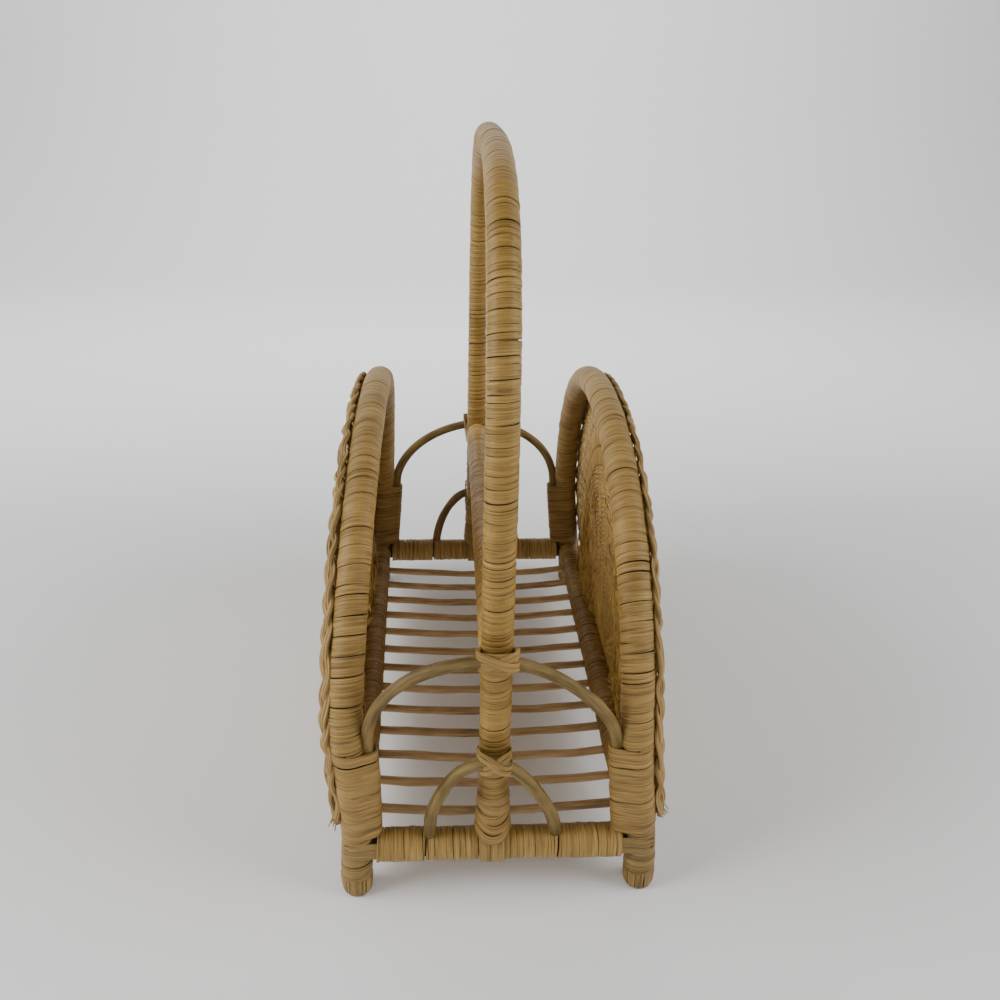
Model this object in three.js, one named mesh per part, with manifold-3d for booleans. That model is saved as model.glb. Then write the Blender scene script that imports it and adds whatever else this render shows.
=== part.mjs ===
import * as THREE from 'three';
import { mergeVertices } from 'three/addons/utils/BufferGeometryUtils.js';
import Module from 'manifold-3d';

// Magazine basket of cane and rattan. Millimetres, Z up, Y along the basket, floor at zero.
// Two leaning side hoops stand on wrapped feet. Rails tie them into a base that carries thin slats.
// A tall handle hoop and a low divider rail split the basket lengthways.

const wasm = await Module();
wasm.setup();

// Overall frame
const HALF_LENGTH = 199;
const FOOT_X = 92.5;
const LEAN_SHARE = 0.01;
const SPLAY = 6;
const SPLAY_LOW = 10;
const SPLAY_TOP = 115;
const FOOT_TUCK = 10;
const FOOT_TUCK_LOW = 35;
const FOOT_TUCK_TOP = 125;
const LEFT_LEAN = 8;
const LEFT_LEAN_LOW = 110;
const LEFT_LEAN_TOP = 260;
const LEFT_LEAN_POWER_SHARE = 1.2;
const CLEARANCE = 0.3;

// Side hoops
const HOOP_TOP = 254.5;
const HOOP_SPRING = 70;
const HOOP_POWER_SHARE = 2.15;
const POLE_RADIUS = 8;
const HOOP_WRAP_RADIUS = 10.2;
const FOOT_BASE_RADIUS = 7.6;
const FOOT_SHOULDER_RADIUS = 9.1;
const FOOT_FLOOR = 6;
const FOOT_CAP_HEIGHT = 20;

// Base rails
const RAIL_HEIGHT = 33.5;
const RAIL_POLE_RADIUS = 7.6;
const RAIL_WRAP_RADIUS = 10;

// Handle and divider
const HANDLE_TOP = 424;
const HANDLE_SPRING = 223;
const HANDLE_POWER_SHARE = 3.2;
const HANDLE_POLE_RADIUS = 7.4;
const HANDLE_WRAP_RADIUS = 9.4;
const HANDLE_TILT_SHARE = 0.011;
const DIVIDER_HEIGHT = 156.5;

// Slats
const SLAT_COUNT = 13;
const SLAT_RADIUS = 2.9;
const SLAT_FRONT_GAP = 33;
const SLAT_REAR_GAP = 42.8;
const SLAT_SAG = 4.5;

// End arches
const ROD_RADIUS = 3.75;
const LARGE_SPRING = 106;
const LARGE_RISES = [15.5, 2.5];
const LARGE_TOPS = LARGE_RISES.map((rise) => DIVIDER_HEIGHT + rise);
const LARGE_POWER_SHARES = [[2.2, 1.6], [1.85, 2.1]];
const SMALL_HALF_WIDTH = 38.6;
const SMALL_RISES = [70.5, 56.5];
const SMALL_TOPS = SMALL_RISES.map((rise) => RAIL_HEIGHT + rise);
const SMALL_POWER_SHARES = [[2.3, 1.6], [2, 2]];

// Bindings, lashings and saddles
const BAND_THICKNESS = 1.5;
const BINDING_SLACK = 0.7;
const BINDING_LOW = 44.2;
const BINDING_TOP = 103;
const LASHING_WIDTH = 5.5;
const LASHING_REACH = 17;
const LASHING_ANGLE = THREE.MathUtils.degToRad(33);
const SADDLE_WIDTH = 14.7;
const SADDLE_TOP = 62;
const CUFF_LOW = 46;
const CUFF_TOP = 72;

// Side panels, as distances inward from the hoop's centre line
const BRAID_HALF_WIDTH = 6;
const BRAID_HALF_DEPTH = 3.7;
const BRAID_LOW = 46;
const OPENWORK_DEPTH = 38;
const CHEVRON_DEPTH = 66;
const PANEL_FLOOR = 30;
const PANEL_THICKNESS = 3;
const LINK_COUNT = 28;
const LINK_HALF_LENGTH = 11;
const LINK_HALF_WIDTH = 4.6;

const ROUND_SIDES = 12;
const ROD_SIDES = 8;
const HOOP_STEPS = 28;
const HOOP_LEG_STEPS = 4;
const HANDLE_STEPS = 26;
const HANDLE_LEG_STEPS = 2;
const LARGE_STEPS = 32;
const LARGE_LEG_STEPS = 4;

const COLOURS = {
  cane_wrap: [0.74, 0.6, 0.38],
  rattan_pole: [0.66, 0.5, 0.3],
  rattan_rod: [0.7, 0.54, 0.34],
  slat_rod: [0.52, 0.38, 0.24],
  cane_lashing: [0.78, 0.66, 0.44],
  braid: [0.68, 0.54, 0.34],
  weave: [0.7, 0.56, 0.33],
};

// Sideways set of a side frame at a place along the basket and a height
function sideOffset(side, y, z) {
  const inward = LEAN_SHARE * z + SPLAY * THREE.MathUtils.smoothstep(z, SPLAY_LOW, SPLAY_TOP);
  if (side > 0) {
    return FOOT_X - inward;
  }
  const ahead = (HALF_LENGTH - y) / (HALF_LENGTH + HALF_LENGTH);
  const tuck = FOOT_TUCK * ahead * (1 - THREE.MathUtils.smoothstep(z, FOOT_TUCK_LOW, FOOT_TUCK_TOP));
  const high = Math.max(0, z - LEFT_LEAN_LOW) / (LEFT_LEAN_TOP - LEFT_LEAN_LOW);
  return -(FOOT_X - inward - tuck - LEFT_LEAN * Math.pow(high, LEFT_LEAN_POWER_SHARE));
}

// Half length of the hoop's centre line at a height
function hoopHalf(z) {
  const share = Math.max(0, z - HOOP_SPRING) / (HOOP_TOP - HOOP_SPRING);
  return HALF_LENGTH * Math.pow(1 - Math.pow(share, HOOP_POWER_SHARE), 1 / HOOP_POWER_SHARE);
}

function eachVertex(geometry, change) {
  const position = geometry.getAttribute('position');
  const point = new THREE.Vector3();
  for (let i = 0; i < position.count; i += 1) {
    point.fromBufferAttribute(position, i);
    change(point);
    position.setXYZ(i, point.x, point.y, point.z);
  }
  return geometry;
}

function leanSide(geometry, side) {
  return eachVertex(geometry, (p) => {
    p.x += sideOffset(side, p.y, p.z);
  });
}

function tiltHandle(geometry) {
  return eachVertex(geometry, (p) => {
    p.x += HANDLE_TILT_SHARE * p.z;
  });
}

function volumeOf(geometry) {
  const position = geometry.getAttribute('position');
  const index = geometry.getIndex();
  const a = new THREE.Vector3();
  const b = new THREE.Vector3();
  const c = new THREE.Vector3();
  let total = 0;
  for (let i = 0; i < index.count; i += 3) {
    a.fromBufferAttribute(position, index.getX(i));
    b.fromBufferAttribute(position, index.getX(i + 1));
    c.fromBufferAttribute(position, index.getX(i + 2));
    total += a.dot(b.cross(c));
  }
  return total;
}

// One closed skin with shared corners and outward faces
function closed(geometry) {
  geometry.deleteAttribute('normal');
  geometry.deleteAttribute('uv');
  const merged = mergeVertices(geometry, 1e-4);
  if (volumeOf(merged) < 0) {
    const index = merged.getIndex();
    for (let i = 0; i < index.count; i += 3) {
      const keep = index.getX(i);
      index.setX(i, index.getX(i + 2));
      index.setX(i + 2, keep);
    }
  }
  return merged;
}

function solid(geometry) {
  const merged = closed(geometry.clone());
  return new wasm.Manifold(new wasm.Mesh({
    numProp: 3,
    vertProperties: new Float32Array(merged.getAttribute('position').array),
    triVerts: new Uint32Array(merged.getIndex().array),
  }));
}

function skin(manifold) {
  const mesh = manifold.getMesh();
  const geometry = new THREE.BufferGeometry();
  geometry.setAttribute('position', new THREE.BufferAttribute(new Float32Array(mesh.vertProperties), 3));
  geometry.setIndex(new THREE.BufferAttribute(new Uint32Array(mesh.triVerts), 1));
  return geometry;
}

function cut(geometry, ...tools) {
  let body = solid(geometry);
  for (const tool of tools) {
    body = body.subtract(solid(tool));
  }
  return skin(body);
}

// Half of a rounded arch over two straight legs, from the front foot to the rear foot
class ArchCurve extends THREE.Curve {
  constructor(half, top, spring, power, foot, legShare) {
    super();
    Object.assign(this, { half, top, spring, power, foot, legShare });
  }

  getUtoTmapping(u) {
    return u;
  }

  getPoint(t, target = new THREE.Vector3()) {
    const share = this.legShare;
    if (t < share) {
      const z = THREE.MathUtils.lerp(this.foot, this.spring, t / share);
      return target.set(0, -this.half, z);
    }
    if (t > 1 - share) {
      const z = THREE.MathUtils.lerp(this.foot, this.spring, (1 - t) / share);
      return target.set(0, this.half, z);
    }
    const angle = Math.PI * (t - share) / (1 - share - share);
    const c = Math.cos(angle);
    const s = Math.max(0, Math.sin(angle));
    const y = -Math.sign(c) * Math.pow(Math.abs(c), 2 / this.power) * this.half;
    const z = this.spring + Math.pow(s, 2 / this.power) * (this.top - this.spring);
    return target.set(0, y, z);
  }
}

function ring(radiusX, radiusY, sides) {
  const points = [];
  for (let i = 0; i < sides; i += 1) {
    const angle = (i + 0.5) * 2 * Math.PI / sides;
    points.push(new THREE.Vector2(Math.cos(angle) * radiusX, Math.sin(angle) * radiusY));
  }
  return points;
}

function sweep(curve, steps, outer, inner, sides) {
  const shape = new THREE.Shape(ring(outer, outer, sides));
  if (inner > 0) {
    shape.holes.push(new THREE.Path(ring(inner, inner, sides)));
  }
  return new THREE.ExtrudeGeometry(shape, { steps, extrudePath: curve, bevelEnabled: false });
}

function straight(from, to, outer, inner, sides) {
  return sweep(new THREE.LineCurve3(from, to), 1, outer, inner, sides);
}

function hoopTube(outer, inner, foot) {
  const curve = new ArchCurve(HALF_LENGTH, HOOP_TOP, HOOP_SPRING, HOOP_POWER_SHARE, foot, HOOP_LEG_STEPS / HOOP_STEPS);
  return sweep(curve, HOOP_STEPS, outer, inner, ROUND_SIDES);
}

function handleTube(outer, inner) {
  const legShare = HANDLE_LEG_STEPS / HANDLE_STEPS;
  const curve = new ArchCurve(HALF_LENGTH, HANDLE_TOP, HANDLE_SPRING, HANDLE_POWER_SHARE, RAIL_HEIGHT, legShare);
  return tiltHandle(sweep(curve, HANDLE_STEPS, outer, inner, ROUND_SIDES));
}

// A flat plate standing in the side frame's plane, from an outline of places along and heights
function plate(shape, thickness) {
  const geometry = new THREE.ExtrudeGeometry(shape, { depth: thickness, bevelEnabled: false });
  const x = new THREE.Vector3(0, 1, 0);
  const y = new THREE.Vector3(0, 0, 1);
  const z = new THREE.Vector3(1, 0, 0);
  return geometry.applyMatrix4(new THREE.Matrix4().makeBasis(x, y, z));
}

function archPoint(depth, angle) {
  const c = Math.cos(angle);
  const s = Math.max(0, Math.sin(angle));
  const half = HALF_LENGTH - depth;
  const rise = HOOP_TOP - HOOP_SPRING - depth;
  const y = -Math.sign(c) * Math.pow(Math.abs(c), 2 / HOOP_POWER_SHARE) * half;
  return new THREE.Vector2(y, HOOP_SPRING + Math.pow(s, 2 / HOOP_POWER_SHARE) * rise);
}

function archLine(depth, count) {
  const points = [new THREE.Vector2(-(HALF_LENGTH - depth), PANEL_FLOOR)];
  for (let i = 0; i <= count; i += 1) {
    points.push(archPoint(depth, Math.PI * i / count));
  }
  points.push(new THREE.Vector2(HALF_LENGTH - depth, PANEL_FLOOR));
  return points;
}

function bandPlate(outerDepth, innerDepth, holes) {
  const outer = archLine(outerDepth, 28);
  const inner = archLine(innerDepth, 28);
  const shape = new THREE.Shape([...outer, ...inner.reverse()]);
  for (const hole of holes) {
    shape.holes.push(new THREE.Path(hole));
  }
  return plate(shape, PANEL_THICKNESS);
}

function linkHoles() {
  const middle = (BRAID_HALF_WIDTH + OPENWORK_DEPTH) / 2;
  const holes = [];
  for (let i = 0; i < LINK_COUNT; i += 1) {
    const angle = Math.PI * (i + 0.5) / LINK_COUNT;
    const centre = archPoint(middle, angle);
    const inward = archPoint(OPENWORK_DEPTH, angle).sub(centre).normalize();
    const along = new THREE.Vector2(-inward.y, inward.x);
    holes.push(ring(LINK_HALF_LENGTH, LINK_HALF_WIDTH, ROD_SIDES).map((p) => centre.clone()
      .addScaledVector(inward, p.x).addScaledVector(along, p.y)));
  }
  return holes;
}

// Outline round two circles side by side
function twinOutline(radius, smallRadius, centreX, centreY) {
  const points = [];
  const apart = Math.hypot(centreX, centreY);
  const heading = Math.atan2(centreY, centreX);
  const tangent = Math.acos((radius - smallRadius) / apart);
  const steps = 12;
  for (let i = 0; i <= steps; i += 1) {
    const angle = heading + tangent + (2 * Math.PI - tangent - tangent) * i / steps;
    points.push(new THREE.Vector2(Math.cos(angle) * radius, Math.sin(angle) * radius));
  }
  const few = 6;
  for (let i = 0; i <= few; i += 1) {
    const angle = heading - tangent + (tangent + tangent) * i / few;
    points.push(new THREE.Vector2(
      centreX + Math.cos(angle) * smallRadius,
      centreY + Math.sin(angle) * smallRadius,
    ));
  }
  return points;
}

// Upright block of an outline that follows the foot of a side hoop
function cornerBlock(shape, end, low, top) {
  const block = new THREE.ExtrudeGeometry(shape, { depth: top - low, steps: 4, bevelEnabled: false });
  block.translate(0, 0, low);
  return eachVertex(block, (p) => {
    p.y += end * hoopHalf(p.z);
  });
}

const LEG_SPACING = POLE_RADIUS + ROD_RADIUS + CLEARANCE;
const ARCH_FRONT = HANDLE_WRAP_RADIUS + ROD_RADIUS + CLEARANCE;

// Large arch: its legs are bound to the hoop legs, then it bends over in front of the handle leg
class LargeArchCurve extends THREE.Curve {
  constructor(end, top, powers) {
    super();
    Object.assign(this, { end, top, powers });
  }

  getUtoTmapping(u) {
    return u;
  }

  getPoint(t, target = new THREE.Vector3()) {
    const side = t < 0.5 ? -1 : 1;
    const power = t < 0.5 ? this.powers[0] : this.powers[1];
    const u = t < 0.5 ? t : 1 - t;
    const legShare = LARGE_LEG_STEPS / LARGE_STEPS;
    if (u < legShare) {
      const z = THREE.MathUtils.lerp(BINDING_LOW, LARGE_SPRING, u / legShare);
      const beside = this.end * hoopHalf(z);
      return target.set(sideOffset(side, beside, z) - side * LEG_SPACING, beside, z);
    }
    const y = this.end * hoopHalf(LARGE_SPRING);
    const forward = this.end * (HALF_LENGTH + ARCH_FRONT) - y;
    const angle = Math.PI / 2 * (u - legShare) / (0.5 - legShare);
    const centre = HANDLE_TILT_SHARE * this.top;
    const reach = sideOffset(side, y, LARGE_SPRING) - side * LEG_SPACING - centre;
    const rise = Math.pow(Math.sin(angle), 2 / power);
    const x = centre + Math.pow(Math.max(0, Math.cos(angle)), 2 / power) * reach;
    const z = LARGE_SPRING + rise * (this.top - LARGE_SPRING);
    return target.set(x, y + forward * rise, z);
  }
}

// Small arch: it stands on the cross rail and passes in front of the handle leg
class SmallArchCurve extends THREE.Curve {
  constructor(end, top, powers) {
    super();
    Object.assign(this, { end, top, powers });
  }

  getUtoTmapping(u) {
    return u;
  }

  getPoint(t, target = new THREE.Vector3()) {
    const angle = Math.PI * t;
    const c = Math.cos(angle);
    const power = t < 0.5 ? this.powers[0] : this.powers[1];
    const rise = Math.pow(Math.max(0, Math.sin(angle)), 2 / power);
    const centre = HANDLE_TILT_SHARE * this.top;
    const x = centre - Math.sign(c) * Math.pow(Math.abs(c), 2 / power) * SMALL_HALF_WIDTH;
    const z = RAIL_HEIGHT + rise * (this.top - RAIL_HEIGHT);
    return target.set(x, this.end * (HALF_LENGTH + ARCH_FRONT * rise), z);
  }
}

// Crossed bands that tie an arch to the handle leg
function lashing(end, height, ...tools) {
  const bare = HANDLE_WRAP_RADIUS + CLEARANCE;
  const outer = twinOutline(bare + BAND_THICKNESS, ROD_RADIUS + CLEARANCE + BAND_THICKNESS, 0, end * ARCH_FRONT);
  const reach = LASHING_REACH;
  const block = new THREE.ExtrudeGeometry(new THREE.Shape(outer), { depth: reach + reach, bevelEnabled: false });
  block.translate(0, 0, -reach);
  const across = HALF_LENGTH / 2;
  const slab = new THREE.BoxGeometry(across, across, LASHING_WIDTH);
  const rising = slab.clone().rotateY(LASHING_ANGLE);
  const falling = slab.clone().rotateY(-LASHING_ANGLE);
  let body = solid(block).intersect(solid(rising).add(solid(falling)));
  const leg = straight(
    new THREE.Vector3(0, 0, -reach - reach),
    new THREE.Vector3(0, 0, reach + reach),
    bare,
    0,
    ROUND_SIDES,
  );
  body = body.subtract(solid(leg));
  const placed = skin(body).translate(HANDLE_TILT_SHARE * height, end * HALF_LENGTH, height);
  return cut(placed, ...tools);
}

// Strap under the cross rail with a cuff round the handle leg
function saddle(end, railTool, legTool) {
  const inner = RAIL_WRAP_RADIUS + CLEARANCE;
  const outer = inner + BAND_THICKNESS;
  const points = [new THREE.Vector2(-outer, SADDLE_TOP)];
  const half = 12;
  for (let i = 0; i <= half; i += 1) {
    const angle = Math.PI + Math.PI * i / half;
    points.push(new THREE.Vector2(Math.cos(angle) * outer, RAIL_HEIGHT + Math.sin(angle) * outer));
  }
  points.push(new THREE.Vector2(outer, SADDLE_TOP));
  const strap = plate(new THREE.Shape(points), SADDLE_WIDTH);
  strap.translate(HANDLE_TILT_SHARE * CUFF_LOW - SADDLE_WIDTH / 2, end * HALF_LENGTH, 0);
  const cuff = straight(
    new THREE.Vector3(HANDLE_TILT_SHARE * CUFF_LOW, end * HALF_LENGTH, CUFF_LOW),
    new THREE.Vector3(HANDLE_TILT_SHARE * CUFF_TOP, end * HALF_LENGTH, CUFF_TOP),
    HANDLE_WRAP_RADIUS + CLEARANCE + BAND_THICKNESS,
    0,
    ROUND_SIDES,
  );
  const body = solid(strap).add(solid(cuff)).subtract(solid(railTool)).subtract(solid(legTool));
  return skin(body);
}

// Wrapping of one foot, from the floor to the corner binding
function footWrap() {
  const bore = POLE_RADIUS + CLEARANCE + CLEARANCE;
  const top = BINDING_LOW - CLEARANCE;
  const middle = (FOOT_CAP_HEIGHT + top) / 2;
  const profile = [
    new THREE.Vector2(0, 0),
    new THREE.Vector2(FOOT_BASE_RADIUS, 0),
    new THREE.Vector2(FOOT_SHOULDER_RADIUS, FOOT_FLOOR),
    new THREE.Vector2(HOOP_WRAP_RADIUS, FOOT_CAP_HEIGHT),
    new THREE.Vector2(HOOP_WRAP_RADIUS, middle),
    new THREE.Vector2(HOOP_WRAP_RADIUS, top),
    new THREE.Vector2(bore, top),
    new THREE.Vector2(bore, middle),
    new THREE.Vector2(bore, FOOT_CAP_HEIGHT),
    new THREE.Vector2(bore, FOOT_FLOOR),
    new THREE.Vector2(0, FOOT_FLOOR),
  ];
  return new THREE.LatheGeometry(profile, ROUND_SIDES).rotateX(Math.PI / 2);
}

// Space taken by one foot wrapping, for the rails that meet it
function footTool(side, end) {
  const radius = HOOP_WRAP_RADIUS + CLEARANCE;
  const top = BINDING_LOW - CLEARANCE;
  const heights = [0, FOOT_FLOOR, FOOT_CAP_HEIGHT, (FOOT_CAP_HEIGHT + top) / 2, top];
  const wall = heights.map((z) => new THREE.Vector2(radius, z));
  const profile = [new THREE.Vector2(0, 0), ...wall, new THREE.Vector2(0, top)];
  const body = new THREE.LatheGeometry(profile, ROUND_SIDES).rotateX(Math.PI / 2);
  return leanSide(body.translate(0, end * HALF_LENGTH, 0), side);
}

const root = new THREE.Group();
root.name = 'magazine_basket';

function material(slot) {
  const made = new THREE.MeshStandardMaterial({ roughness: 0.7, metalness: 0 });
  made.color.setRGB(...COLOURS[slot]);
  made.name = slot;
  return made;
}

function group(name, x) {
  const made = new THREE.Group();
  made.name = name;
  made.position.x = x;
  root.add(made);
  return made;
}

function place(parent, name, geometry, slot) {
  const body = closed(geometry);
  body.translate(-parent.position.x, 0, 0);
  body.computeVertexNormals();
  const mesh = new THREE.Mesh(body, material(slot));
  mesh.name = name;
  parent.add(mesh);
}

const base = group('base', 0);
const handle = group('handle_frame', 0);
const ends = group('end_frames', 0);
const SIDES = [[-1, 'left'], [1, 'right']];
const ENDS = [[-1, 'front', 0], [1, 'rear', 1]];

// Tools that cope one wrapped pole round another
const footTools = SIDES.flatMap(([side]) => ENDS.map(([end]) => footTool(side, end)));
const largeCurves = ENDS.map(([end, , which]) => new LargeArchCurve(end, LARGE_TOPS[which], LARGE_POWER_SHARES[which]));
const archTools = largeCurves.map((curve) => sweep(curve, LARGE_STEPS, ROD_RADIUS + CLEARANCE, 0, ROD_SIDES));
const railTools = ENDS.map(([end]) => straight(
  new THREE.Vector3(-FOOT_X, end * HALF_LENGTH, RAIL_HEIGHT),
  new THREE.Vector3(FOOT_X, end * HALF_LENGTH, RAIL_HEIGHT),
  RAIL_WRAP_RADIUS + CLEARANCE,
  0,
  ROUND_SIDES + ROUND_SIDES,
));
const handleTool = handleTube(HANDLE_WRAP_RADIUS + CLEARANCE, 0);
const dividerX = HANDLE_TILT_SHARE * DIVIDER_HEIGHT;
const dividerFrom = new THREE.Vector3(dividerX, -HALF_LENGTH, DIVIDER_HEIGHT);
const dividerTo = new THREE.Vector3(dividerX, HALF_LENGTH, DIVIDER_HEIGHT);
const dividerTool = straight(dividerFrom, dividerTo, HANDLE_WRAP_RADIUS, 0, ROUND_SIDES);

// Space taken by everything below the wrapping of a side hoop
const belowWrap = new THREE.BoxGeometry(2 * HALF_LENGTH, 4 * HALF_LENGTH, 2 * BINDING_TOP);
belowWrap.translate(0, 0, CLEARANCE);

SIDES.forEach(([side, word]) => {
  const frame = group(`side_frame_${word}`, side * FOOT_X);
  const coreFoot = FOOT_FLOOR + CLEARANCE;
  place(frame, `side_hoop_${word}_core`, leanSide(hoopTube(POLE_RADIUS, 0, coreFoot), side), 'rattan_pole');
  const sleeve = leanSide(hoopTube(HOOP_WRAP_RADIUS, POLE_RADIUS + CLEARANCE, coreFoot), side);
  place(frame, `side_hoop_${word}_wrap`, cut(sleeve, belowWrap, ...archTools), 'cane_wrap');

  ENDS.forEach(([end, where]) => {
    const foot = footWrap().translate(0, end * HALF_LENGTH, 0);
    place(frame, `foot_wrap_${where}_${word}`, leanSide(foot, side), 'cane_wrap');
    const grip = BAND_THICKNESS + BINDING_SLACK;
    const outline = twinOutline(POLE_RADIUS + grip, ROD_RADIUS + grip, -side * LEG_SPACING, 0);
    const shape = new THREE.Shape(outline);
    shape.holes.push(new THREE.Path(twinOutline(
      POLE_RADIUS + BINDING_SLACK,
      ROD_RADIUS + BINDING_SLACK,
      -side * LEG_SPACING,
      0,
    )));
    const binding = cornerBlock(shape, end, BINDING_LOW, BINDING_TOP);
    place(frame, `corner_binding_${where}_${word}`, leanSide(binding, side), 'cane_lashing');
  });

  const skinFace = HOOP_WRAP_RADIUS + CLEARANCE;
  const plateSet = side > 0 ? skinFace : -skinFace - PANEL_THICKNESS;
  const braidShape = new THREE.Shape(ring(BRAID_HALF_DEPTH, BRAID_HALF_WIDTH, ROD_SIDES));
  const braidShare = HANDLE_LEG_STEPS / HANDLE_STEPS;
  const braidCurve = new ArchCurve(HALF_LENGTH, HOOP_TOP, HOOP_SPRING, HOOP_POWER_SHARE, BRAID_LOW, braidShare);
  const braidFrame = braidCurve.computeFrenetFrames(1, false);
  const swap = Math.abs(braidFrame.normals[0].x) < 0.5;
  const turned = new THREE.Shape(ring(BRAID_HALF_WIDTH, BRAID_HALF_DEPTH, ROD_SIDES));
  const braid = new THREE.ExtrudeGeometry(swap ? turned : braidShape, {
    steps: HANDLE_STEPS,
    extrudePath: braidCurve,
    bevelEnabled: false,
  });
  braid.translate(side * (skinFace + BRAID_HALF_DEPTH), 0, 0);
  place(frame, `braided_border_${word}`, leanSide(braid, side), 'braid');

  const openwork = bandPlate(BRAID_HALF_WIDTH + CLEARANCE, OPENWORK_DEPTH, linkHoles());
  openwork.translate(plateSet, 0, 0);
  place(frame, `openwork_${word}`, leanSide(openwork, side), 'weave');
  const chevron = bandPlate(OPENWORK_DEPTH + CLEARANCE, CHEVRON_DEPTH, []);
  place(frame, `chevron_band_${word}`, leanSide(chevron.translate(plateSet, 0, 0), side), 'weave');
  const fan = plate(new THREE.Shape(archLine(CHEVRON_DEPTH + CLEARANCE, 28)), PANEL_THICKNESS);
  place(frame, `fan_weave_${word}`, leanSide(fan.translate(plateSet, 0, 0), side), 'weave');

  // Long rail between the two feet of this side
  const from = new THREE.Vector3(0, -HALF_LENGTH, RAIL_HEIGHT);
  const to = new THREE.Vector3(0, HALF_LENGTH, RAIL_HEIGHT);
  const pole = leanSide(straight(from, to, RAIL_POLE_RADIUS, 0, ROUND_SIDES), side);
  const railSleeve = leanSide(
    straight(from, to, RAIL_WRAP_RADIUS, RAIL_POLE_RADIUS + CLEARANCE, ROUND_SIDES),
    side,
  );
  place(base, `long_rail_${word}_core`, cut(pole, ...footTools, ...railTools), 'rattan_pole');
  place(base, `long_rail_${word}_wrap`, cut(railSleeve, ...footTools, ...railTools), 'cane_wrap');
});

ENDS.forEach(([end, where, which]) => {
  const reach = Math.abs(sideOffset(1, 0, RAIL_HEIGHT));
  const y = end * HALF_LENGTH;
  const from = new THREE.Vector3(sideOffset(-1, y, RAIL_HEIGHT), y, RAIL_HEIGHT);
  const to = new THREE.Vector3(reach, y, RAIL_HEIGHT);
  const pole = straight(from, to, RAIL_POLE_RADIUS, 0, ROUND_SIDES);
  const sleeve = straight(from, to, RAIL_WRAP_RADIUS, RAIL_POLE_RADIUS + CLEARANCE, ROUND_SIDES);
  place(base, `cross_rail_${where}_core`, cut(pole, ...footTools), 'rattan_pole');
  place(base, `cross_rail_${where}_wrap`, cut(sleeve, ...footTools), 'cane_wrap');

  place(ends, `large_arch_${where}`, sweep(largeCurves[which], LARGE_STEPS, ROD_RADIUS, 0, ROD_SIDES), 'rattan_rod');
  const largeTie = lashing(end, LARGE_TOPS[which], archTools[which], dividerTool);
  place(ends, `lashing_large_${where}`, largeTie, 'cane_lashing');

  const small = new SmallArchCurve(end, SMALL_TOPS[which], SMALL_POWER_SHARES[which]);
  const railTool = railTools[which];
  const smallRod = cut(sweep(small, 20, ROD_RADIUS, 0, ROD_SIDES), railTool);
  place(ends, `small_arch_${where}`, smallRod, 'rattan_rod');
  const smallTool = sweep(small, 20, ROD_RADIUS + CLEARANCE, 0, ROD_SIDES);
  place(ends, `lashing_small_${where}`, lashing(end, SMALL_TOPS[which], smallTool), 'cane_lashing');
  place(ends, `handle_saddle_${where}`, saddle(end, railTool, handleTool), 'cane_lashing');
});

// Handle hoop standing on both cross rails, and the divider rail between its legs
place(handle, 'handle_core', cut(handleTube(HANDLE_POLE_RADIUS, 0), ...railTools), 'rattan_pole');
const handleSleeve = handleTube(HANDLE_WRAP_RADIUS, HANDLE_POLE_RADIUS + CLEARANCE);
place(handle, 'handle_wrap', cut(handleSleeve, ...railTools), 'cane_wrap');
const dividerPole = straight(dividerFrom, dividerTo, HANDLE_POLE_RADIUS, 0, ROUND_SIDES);
const dividerRadius = HANDLE_WRAP_RADIUS - CLEARANCE;
const dividerSleeve = straight(
  dividerFrom,
  dividerTo,
  dividerRadius,
  HANDLE_POLE_RADIUS + CLEARANCE,
  ROUND_SIDES,
);
place(handle, 'divider_rail_core', cut(dividerPole, handleTool), 'rattan_pole');
place(handle, 'divider_rail_wrap', cut(dividerSleeve, handleTool), 'cane_wrap');

// Slats between the long rails
const slatFirst = SLAT_FRONT_GAP - HALF_LENGTH;
const slatLast = HALF_LENGTH - SLAT_REAR_GAP;
for (let i = 0; i < SLAT_COUNT; i += 1) {
  const y = THREE.MathUtils.lerp(slatFirst, slatLast, i / (SLAT_COUNT - 1));
  const inner = RAIL_WRAP_RADIUS + CLEARANCE;
  const left = sideOffset(-1, y, RAIL_HEIGHT) + inner;
  const right = sideOffset(1, y, RAIL_HEIGHT) - inner;
  const points = [];
  const steps = 8;
  for (let j = 0; j <= steps; j += 1) {
    const share = j / steps;
    const dip = 4 * share * (1 - share);
    const x = THREE.MathUtils.lerp(left, right, share);
    points.push(new THREE.Vector3(x, y, RAIL_HEIGHT - SLAT_SAG * dip));
  }
  const slat = sweep(new THREE.CatmullRomCurve3(points), steps, SLAT_RADIUS, 0, ROD_SIDES);
  place(base, `slat_${String(i + 1).padStart(2, '0')}`, slat, 'slat_rod');
}

export default root;
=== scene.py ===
"""Magazine basket of wrapped rattan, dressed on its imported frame.

Lengths are in millimetres, Z up, Y along the basket, and become metres when a mesh is made. Strips and strands are
grids: one axis runs along the strip, the other round its section. A made piece is its grid, its UV map and its tone,
a shade that tells one strip from the next.
"""

import bpy
import numpy as np
from mathutils import Matrix, Vector


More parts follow.
